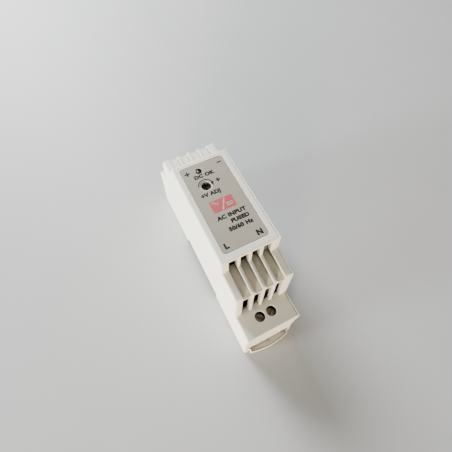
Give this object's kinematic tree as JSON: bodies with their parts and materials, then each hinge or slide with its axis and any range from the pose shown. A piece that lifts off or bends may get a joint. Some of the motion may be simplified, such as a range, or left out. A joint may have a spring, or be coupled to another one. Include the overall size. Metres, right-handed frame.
{
  "type": "din rail power supply",
  "caption": "Narrow DIN rail power supply with a stepped vented housing, screw terminals at both ends, a front label, a voltage trimmer and a sprung rail latch.",
  "frame": {"origin": "middle of the bounding box, on the rail side plane", "axes": "+Z out of the front face, away from the rail; +Y along the housing from the AC terminals and the latch to the DC terminals; +X along the rail, towards the side cover"},
  "size_m": [0.025, 0.098, 0.056],
  "materials": {
    "housing_plastic": "fine moulded grain, off-white",
    "label_film": "printed polyester film, light grey",
    "spring_steel": "drawn wire",
    "board_laminate": "green solder mask",
    "terminal_plastic": "moulded, dark green",
    "contact_brass": "tinned strip",
    "plated_steel": "zinc plated",
    "trimmer_plastic": "moulded, blue",
    "rotor_plastic": "moulded, dark brown",
    "lamp_lens": "tinted epoxy",
    "black_plastic": "moulded epoxy",
    "disc_black": "dipped coating",
    "disc_blue": "dipped coating",
    "yellow_plastic": "moulded box",
    "ferrite": "sintered, dark grey",
    "enamel_copper": "enamelled copper wire",
    "capacitor_sleeve": "shrunk sleeve",
    "heatsink_aluminium": "rolled sheet",
    "resistor_body": "lacquered",
    "winding_tape": "polyester tape",
    "white_plastic": "moulded epoxy"
  },
  "bodies": {
    "housing": {"main_shell": "housing_plastic", "side_cover": "housing_plastic", "front_label": "label_film", "latch_spring": "spring_steel", "main_board": "board_laminate", "ac_terminal_block": "terminal_plastic", "dc_terminal_block": "terminal_plastic", "ac_contact_l": "contact_brass", "ac_contact_n": "contact_brass", "dc_contact_pos": "contact_brass", "dc_contact_neg": "contact_brass", "trimmer_body": "trimmer_plastic", "dc_ok_lamp": "lamp_lens", "input_fuse": "black_plastic", "inrush_thermistor": "disc_black", "surge_varistor": "disc_blue", "x_capacitor": "yellow_plastic", "choke_core": "ferrite", "choke_winding_a": "enamel_copper", "choke_winding_b": "enamel_copper", "bridge_rectifier": "black_plastic", "bulk_capacitor": "capacitor_sleeve", "switch_transistor": "black_plastic", "switch_heatsink": "heatsink_aluminium", "controller_chip": "black_plastic", "startup_resistor": "resistor_body", "transformer_core": "ferrite", "transformer_bobbin": "black_plastic", "transformer_winding": "winding_tape", "output_diode": "black_plastic", "diode_heatsink": "heatsink_aluminium", "output_capacitor_a": "capacitor_sleeve", "output_capacitor_b": "capacitor_sleeve", "inductor_core": "ferrite", "inductor_winding": "enamel_copper", "optocoupler": "white_plastic", "y_capacitor": "disc_blue", "shunt_regulator": "black_plastic"},
    "latch": {"din_latch": "housing_plastic"},
    "trimmer": {"trimmer_rotor": "rotor_plastic"},
    "screw_l": {"ac_screw_l": "plated_steel"},
    "screw_n": {"ac_screw_n": "plated_steel"},
    "screw_pos": {"dc_screw_pos": "plated_steel"},
    "screw_neg": {"dc_screw_neg": "plated_steel"},
    "cage_l": {"ac_cage_l": "plated_steel"},
    "cage_n": {"ac_cage_n": "plated_steel"},
    "cage_pos": {"dc_cage_pos": "plated_steel"},
    "cage_neg": {"dc_cage_neg": "plated_steel"}
  },
  "joints": [
    {"name": "latch_slide", "type": "slide", "parent": "housing", "child": "latch", "axis": [0, -1, 0], "range_m": [0, 0.004], "stiffness_N_per_m": 1000, "springref_m": -0.003, "deforming": ["latch_spring"]},
    {"name": "trimmer_turn", "type": "hinge", "parent": "housing", "child": "trimmer", "pos_m": [-0.0026, 0.0121, 0.052], "axis": [0, 0, -1], "range_deg": [-120, 120]},
    {"name": "screw_l_turn", "type": "hinge", "parent": "housing", "child": "screw_l", "pos_m": [-0.0027, -0.03785, 0.0225], "axis": [0, 0, -1], "range_deg": [0, 1730]},
    {"name": "screw_n_turn", "type": "hinge", "parent": "housing", "child": "screw_n", "pos_m": [0.0027, -0.03785, 0.0225], "axis": [0, 0, -1], "range_deg": [0, 1730]},
    {"name": "screw_pos_turn", "type": "hinge", "parent": "housing", "child": "screw_pos", "pos_m": [-0.0027, 0.0426, 0.0225], "axis": [0, 0, -1], "range_deg": [0, 1730]},
    {"name": "screw_neg_turn", "type": "hinge", "parent": "housing", "child": "screw_neg", "pos_m": [0.0027, 0.0426, 0.0225], "axis": [0, 0, -1], "range_deg": [0, 1730]},
    {"name": "cage_l_lift", "type": "slide", "parent": "housing", "child": "cage_l", "axis": [0, 0, 1], "range_m": [0, 0.0024]},
    {"name": "cage_n_lift", "type": "slide", "parent": "housing", "child": "cage_n", "axis": [0, 0, 1], "range_m": [0, 0.0024]},
    {"name": "cage_pos_lift", "type": "slide", "parent": "housing", "child": "cage_pos", "axis": [0, 0, 1], "range_m": [0, 0.0024]},
    {"name": "cage_neg_lift", "type": "slide", "parent": "housing", "child": "cage_neg", "axis": [0, 0, 1], "range_m": [0, 0.0024]}
  ],
  "couplings": [
    {"joint": "screw_l_turn", "follows": "cage_l_lift", "rad_per_m": 12566},
    {"joint": "screw_n_turn", "follows": "cage_n_lift", "rad_per_m": 12566},
    {"joint": "screw_pos_turn", "follows": "cage_pos_lift", "rad_per_m": 12566},
    {"joint": "screw_neg_turn", "follows": "cage_neg_lift", "rad_per_m": 12566}
  ]
}
